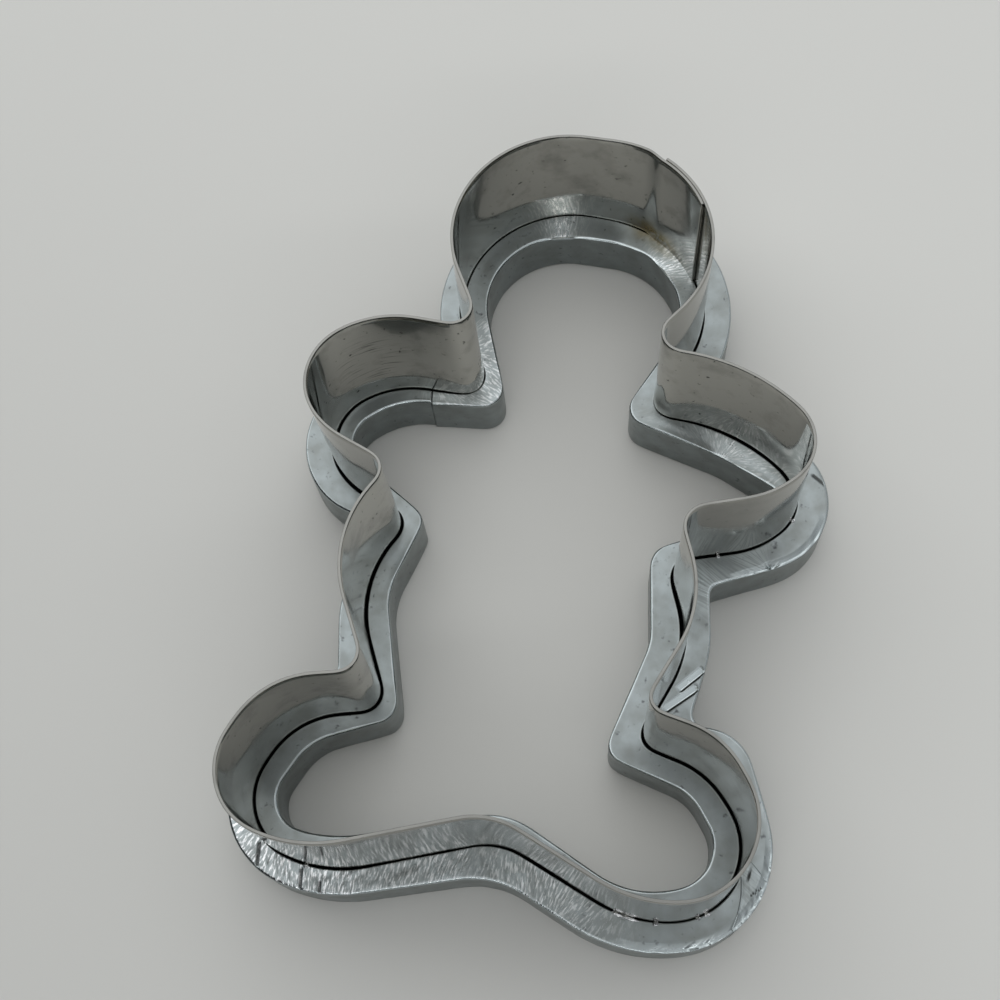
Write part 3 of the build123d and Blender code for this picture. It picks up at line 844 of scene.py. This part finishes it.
class CUTTER_OT_outer_bar(bpy.types.Operator):
    """Builds the outer flat bar, with its file marks, gouges and saw cuts"""

    bl_idname = "cutter.outer_bar"
    bl_label = "Outer bar"

    def execute(self, context):
        sizes, finish, outline = set_out(context.scene)
        gap = 0.01 * MM / outline.length
        points, places, distance, width, painted_highlight = bar_points(
            outline, sizes, outline.outer, 1, BAR_START + gap, BAR_END + 1 - gap, 2700, 26)
        mask = top_mask(sizes, points)
        share = places % 1.0
        rows, columns = places.shape
        filed = np.maximum(band(share, 0.885, 0.965, 0.012), 0.6 * band(share, 0.95, 1.01, 0.015))
        filed = np.maximum(filed, 0.5 * band(share, -0.01, 0.07, 0.03)) * mask
        # The strokes are four times as long across the bar as they are wide.
        strokes = wave(places * outline.length, distance / 4, 0.45 * MM, 31)
        strokes = 2.2 * strokes + coarse_wave(rows, columns, 12, 14, 32)
        points[..., 2] -= filed * sizes.file_marks * (1.5 + strokes)
        # The top and the wall aren't quite flat, and lie this far within their full size.
        top_drop, top_waves, wall_drop, wall_waves = 0.06 * MM, 0.05 * MM, 0.05 * MM, 0.02 * MM
        points[..., 2] -= mask * (top_drop + top_waves * coarse_wave(rows, columns, 80, 14, 33))
        depth, dark, bright = gouged(outline, points)
        points[..., 2] -= mask * depth
        # The rim was filed off at a slant round the right foot and under the right hand.
        slant = np.maximum(band(share, 0.060, 0.140, 0.02), band(share, 0.262, 0.312, 0.008))
        slant = slant * rim_slant(distance, width)
        rough_slant = 1 + 0.4 * coarse_wave(rows, columns, 6, 30, 35)
        points[..., 2] -= sizes.rim_filed * slant * mask * rough_slant
        wall = coarse_wave(rows, columns, 10, 5, 34) * wall_waves - wall_drop
        wall = wall * (distance > width * 0.9)
        points[..., :2] += outline.at(outline.normal, places) * wall[..., None]
        ground = np.maximum(band(share, 0.236, 0.266, 0.01), 0.5 * band(share, 0.262, 0.29, 0.01))
        # The rim mark paints highlight on the rims, the filed slant and the gouges' gentle sides, and the
        # dark mark holds the gouges' painted shadow and the darkened cuts and burrs.
        marks = {
            "rim": np.maximum(np.maximum(painted_highlight, slant * mask), 1.3 * bright * mask),
            "filed": filed,
            "ground": ground * mask,
            "dark": dark * mask,
        }
        run = np.stack([places * outline.length, distance], -1)
        piece = grid_mesh("bar_outside", points, run, marks)
        dress(piece, "outer_frame_bar", zinc_plated_bar, finish)
        return {"FINISHED"}


class CUTTER_OT_joint_fill(bpy.types.Operator):
    """Builds the rough weld fill between the ends of the outer bar"""

    bl_idname = "cutter.joint_fill"
    bl_label = "Joint fill"

    def execute(self, context):
        sizes, finish, outline = set_out(context.scene)
        points, places, distance, width, painted_highlight = bar_points(
            outline, sizes, outline.outer, 1, BAR_END, BAR_START, 110, 40)
        mask = top_mask(sizes, points)
        rows, columns = places.shape
        top_drop, top_waves, ridge_high, pit_deep = 0.07 * MM, 0.02 * MM, 0.09 * MM, 0.2 * MM
        points[..., 2] -= mask * (top_drop + top_waves * coarse_wave(rows, columns, 14, 7, 41))
        slant = rim_slant(distance, width) * mask
        rough_slant = 1 + 0.4 * coarse_wave(rows, columns, 10, 30, 42)
        points[..., 2] -= sizes.rim_filed * slant * rough_slant
        # A thin raised line runs along the end next to the foot's tip.
        part = (places - places[:1]) / (places[-1:] - places[:1])
        ridge = near(part, 0.04, 0.03)
        points[..., 2] += mask * ridge_high * ridge
        # A slot and a row of small pits are sunk and painted dark. Each has its place, its way out from the
        # strip and its reach both ways, in millimetres.
        way = places * outline.length
        out = distance + outline.slot
        pits = [(0.1128, 1.8, 0.8, 0.15)] + [(place, off, 0.15, 0.13) for place, off in (
            (0.1084, 3.35), (0.1094, 3.5), (0.1100, 3.85), (0.1109, 3.8), (0.1115, 4.15), (0.1124, 4.3))]
        dark = np.zeros(places.shape)
        for place, off, long, wide in pits:
            pit = near(way, place * outline.length, long * MM) * near(out, off * MM, wide * MM)
            dark = np.maximum(dark, pit)
        points[..., 2] -= mask * pit_deep * dark
        # The rim mark paints highlight on the rims, the raised line and the filed slant.
        marks = {
            "rim": np.maximum(np.maximum(painted_highlight, ridge * mask), slant),
            "ground": 0.3 * mask,
            "dark": dark * mask,
        }
        piece = grid_mesh("joint_weld", points, np.stack([way, distance], -1), marks)
        dress(piece, "outer_bar_joint_fill", ground_weld_fill, finish)
        return {"FINISHED"}


class CUTTER_OT_solder(bpy.types.Operator):
    """Builds the small beads of solder in the outer seam"""

    bl_idname = "cutter.solder"
    bl_label = "Solder beads"

    def execute(self, context):
        sizes, finish, outline = set_out(context.scene)
        around, up = 40, 18
        # Half a bead's width, its way out from the strip's line, its height and how far its
        # foot lies under the bar's top.
        half_width, middle_out, high, sunk = 0.34 * MM, 0.58 * MM, 0.26 * MM, 0.12 * MM
        angle = np.linspace(0, 2 * math.pi, around, endpoint=False)[:, None]
        rise = np.linspace(0, math.pi / 2, up)[None, :]
        reach = np.cos(rise) ** 0.8
        for number, (place, length) in enumerate(BEADS, 1):
            rough = 1 + 0.25 * coarse_wave(around, up, 5, 5, 49 + number)
            rough[-3:] = rough[:3][::-1] * 0.5 + rough[-3:] * 0.5
            along = np.cos(angle) * reach * length * MM / 2 * rough + place * outline.length
            across = np.sin(angle) * reach * half_width * rough + middle_out
            share = along / outline.length
            shift = across + outline.at(outline.lean, share)
            flat = outline.at(outline.middle, share) + outline.at(outline.normal, share) * shift[..., None]
            height = sizes.bar_height - sunk + np.sin(rise) * high * rough
            points = np.concatenate([flat, height[..., None]], -1)
            piece = grid_mesh(
                f"solder_drop_{number}", points, np.stack([along, across], -1), {},
                closed_rows=True, closed_columns=False, caps=False)
            dress(piece, f"solder_bead_{number}", soft_solder, finish)
        return {"FINISHED"}


def stage_sheet(name, corners, material):
    """A flat sheet of the stage."""
    mesh = bpy.data.meshes.new(name)
    mesh.from_pydata(corners, [], [(0, 1, 2, 3)])
    mesh.materials.append(material)
    sheet = new_object(name, mesh)
    return sheet


def plain_matt(name, shade, rough, shine):
    """A plain matt paint for the stage."""
    material, tree, shader = new_material(name)
    feed(tree, shader, {"Base Color": linear(shade), "Roughness": rough, "Specular IOR Level": shine})
    return material


class CUTTER_OT_stage(bpy.types.Operator):
    """Builds the plain floor, the soft light and the camera"""

    bl_idname = "cutter.stage"
    bl_label = "Stage"

    def execute(self, context):
        scene, finish = context.scene, context.scene.cutter_finish
        reach, under = 3.0, 0.05 * MM
        paint = plain_matt("plain_floor", finish.floor_colour, 0.95, 0.1)
        corners = [(-reach, -reach, 0), (reach, -reach, 0), (reach, reach, 0), (-reach, reach, 0)]
        floor = stage_sheet("floor", corners, paint)
        floor.location.z = -under
        # Dark cards keep the metal from glaring: one over the camera, one standing on the
        # side of the feet.
        black = plain_matt("black_card", "#2A2A2B", 0.9, 0.5)
        west, east, south, north, up = -0.025, 0.055, -0.08, -0.01, 0.252
        over = [(west, south, up), (east, south, up), (east, north, up), (west, north, up)]
        near_head, near_feet, tall = (-0.36, 0.0), (-0.12, -0.31), 0.45
        standing = [(*near_head, 0.0), (*near_feet, 0.0), (*near_feet, tall), (*near_head, tall)]
        stage_sheet("card_over_camera", over, black).visible_camera = False
        stage_sheet("card_by_feet", standing, black).visible_camera = False

        world = bpy.data.worlds.new("soft_room")
        world.use_nodes = True
        room = world.node_tree
        # The room is bright overhead and beyond the head, and dim on the side of the feet.
        way = node(room, "TexCoord").outputs["Generated"]
        towards = node(
            room, "VectorMath", {0: way, 1: (-0.15, 0.35, 0.92)}, operation="DOT_PRODUCT")
        part = node(room, "MapRange", {
            "Value": towards.outputs["Value"], "From Min": -0.1, "From Max": 0.9})
        light = painted(room, linear("#8E9092"), ((part, linear("#F6F8FA")),))
        feed(room, room.nodes["Background"], {"Color": light, "Strength": 0.88})
        scene.world = world
        for name, spot, width, depth, power in (
            ("soft_box_top", (-0.42, 0.42, 1.2), 2.0, 2.0, 9.8),
            ("strip_light_feet", (0.2, -0.85, 0.75), 1.4, 0.10, 1.6),
        ):
            lamp = bpy.data.lights.new(name, "AREA")
            lamp.shape, lamp.size, lamp.size_y, lamp.energy = "RECTANGLE", width, depth, power
            holder = new_object(name, lamp)
            holder.location = spot
            holder.rotation_euler = (-Vector(spot)).to_track_quat("-Z", "Y").to_euler()

        camera = bpy.data.cameras.new("photo_camera")
        camera.sensor_width, camera.lens, camera.clip_start = 36.0, 50.67, 0.01
        holder = new_object("photo_camera", camera)
        holder.location = (20.153 * MM, -87.278 * MM, 239.02 * MM)
        heading, down, roll = 18.367, 67.40, -9.104
        turn = Euler((0, 0, math.radians(heading))).to_matrix()
        turn = turn @ Euler((math.radians(90 - down), 0, 0)).to_matrix()
        turn = turn @ Euler((0, 0, math.radians(roll))).to_matrix()
        holder.rotation_euler = turn.to_euler()
        scene.camera = holder
        scene.view_settings.view_transform = "Standard"
        return {"FINISHED"}


class CUTTER_PT_panel(bpy.types.Panel):
    """Lists the cutter's sizes, finishes and pieces"""

    bl_label = "Cutter"
    bl_idname = "CUTTER_PT_panel"
    bl_space_type = "VIEW_3D"
    bl_region_type = "UI"
    bl_category = "Cutter"

    def draw(self, context):
        for group in (context.scene.cutter_sizes, context.scene.cutter_finish):
            box = self.layout.box()
            for name in group.__annotations__:
                box.prop(group, name)
        for operator in OPERATORS:
            self.layout.operator(operator.bl_idname)


OPERATORS = (
    CUTTER_OT_strip,
    CUTTER_OT_inner_bar,
    CUTTER_OT_outer_bar,
    CUTTER_OT_joint_fill,
    CUTTER_OT_solder,
    CUTTER_OT_stage,
)
CLASSES = (CutterSizes, CutterFinish) + OPERATORS + (CUTTER_PT_panel,)


def register():
    for cls in CLASSES:
        bpy.utils.register_class(cls)
    bpy.types.Scene.cutter_sizes = bpy.props.PointerProperty(type=CutterSizes)
    bpy.types.Scene.cutter_finish = bpy.props.PointerProperty(type=CutterFinish)


def unregister():
    del bpy.types.Scene.cutter_finish
    del bpy.types.Scene.cutter_sizes
    for cls in reversed(CLASSES):
        bpy.utils.unregister_class(cls)


def main():
    register()
    bpy.ops.cutter.strip()
    bpy.ops.cutter.inner_bar()
    bpy.ops.cutter.outer_bar()
    bpy.ops.cutter.joint_fill()
    bpy.ops.cutter.solder()
    bpy.ops.cutter.stage()


if __name__ == "__main__":
    main()
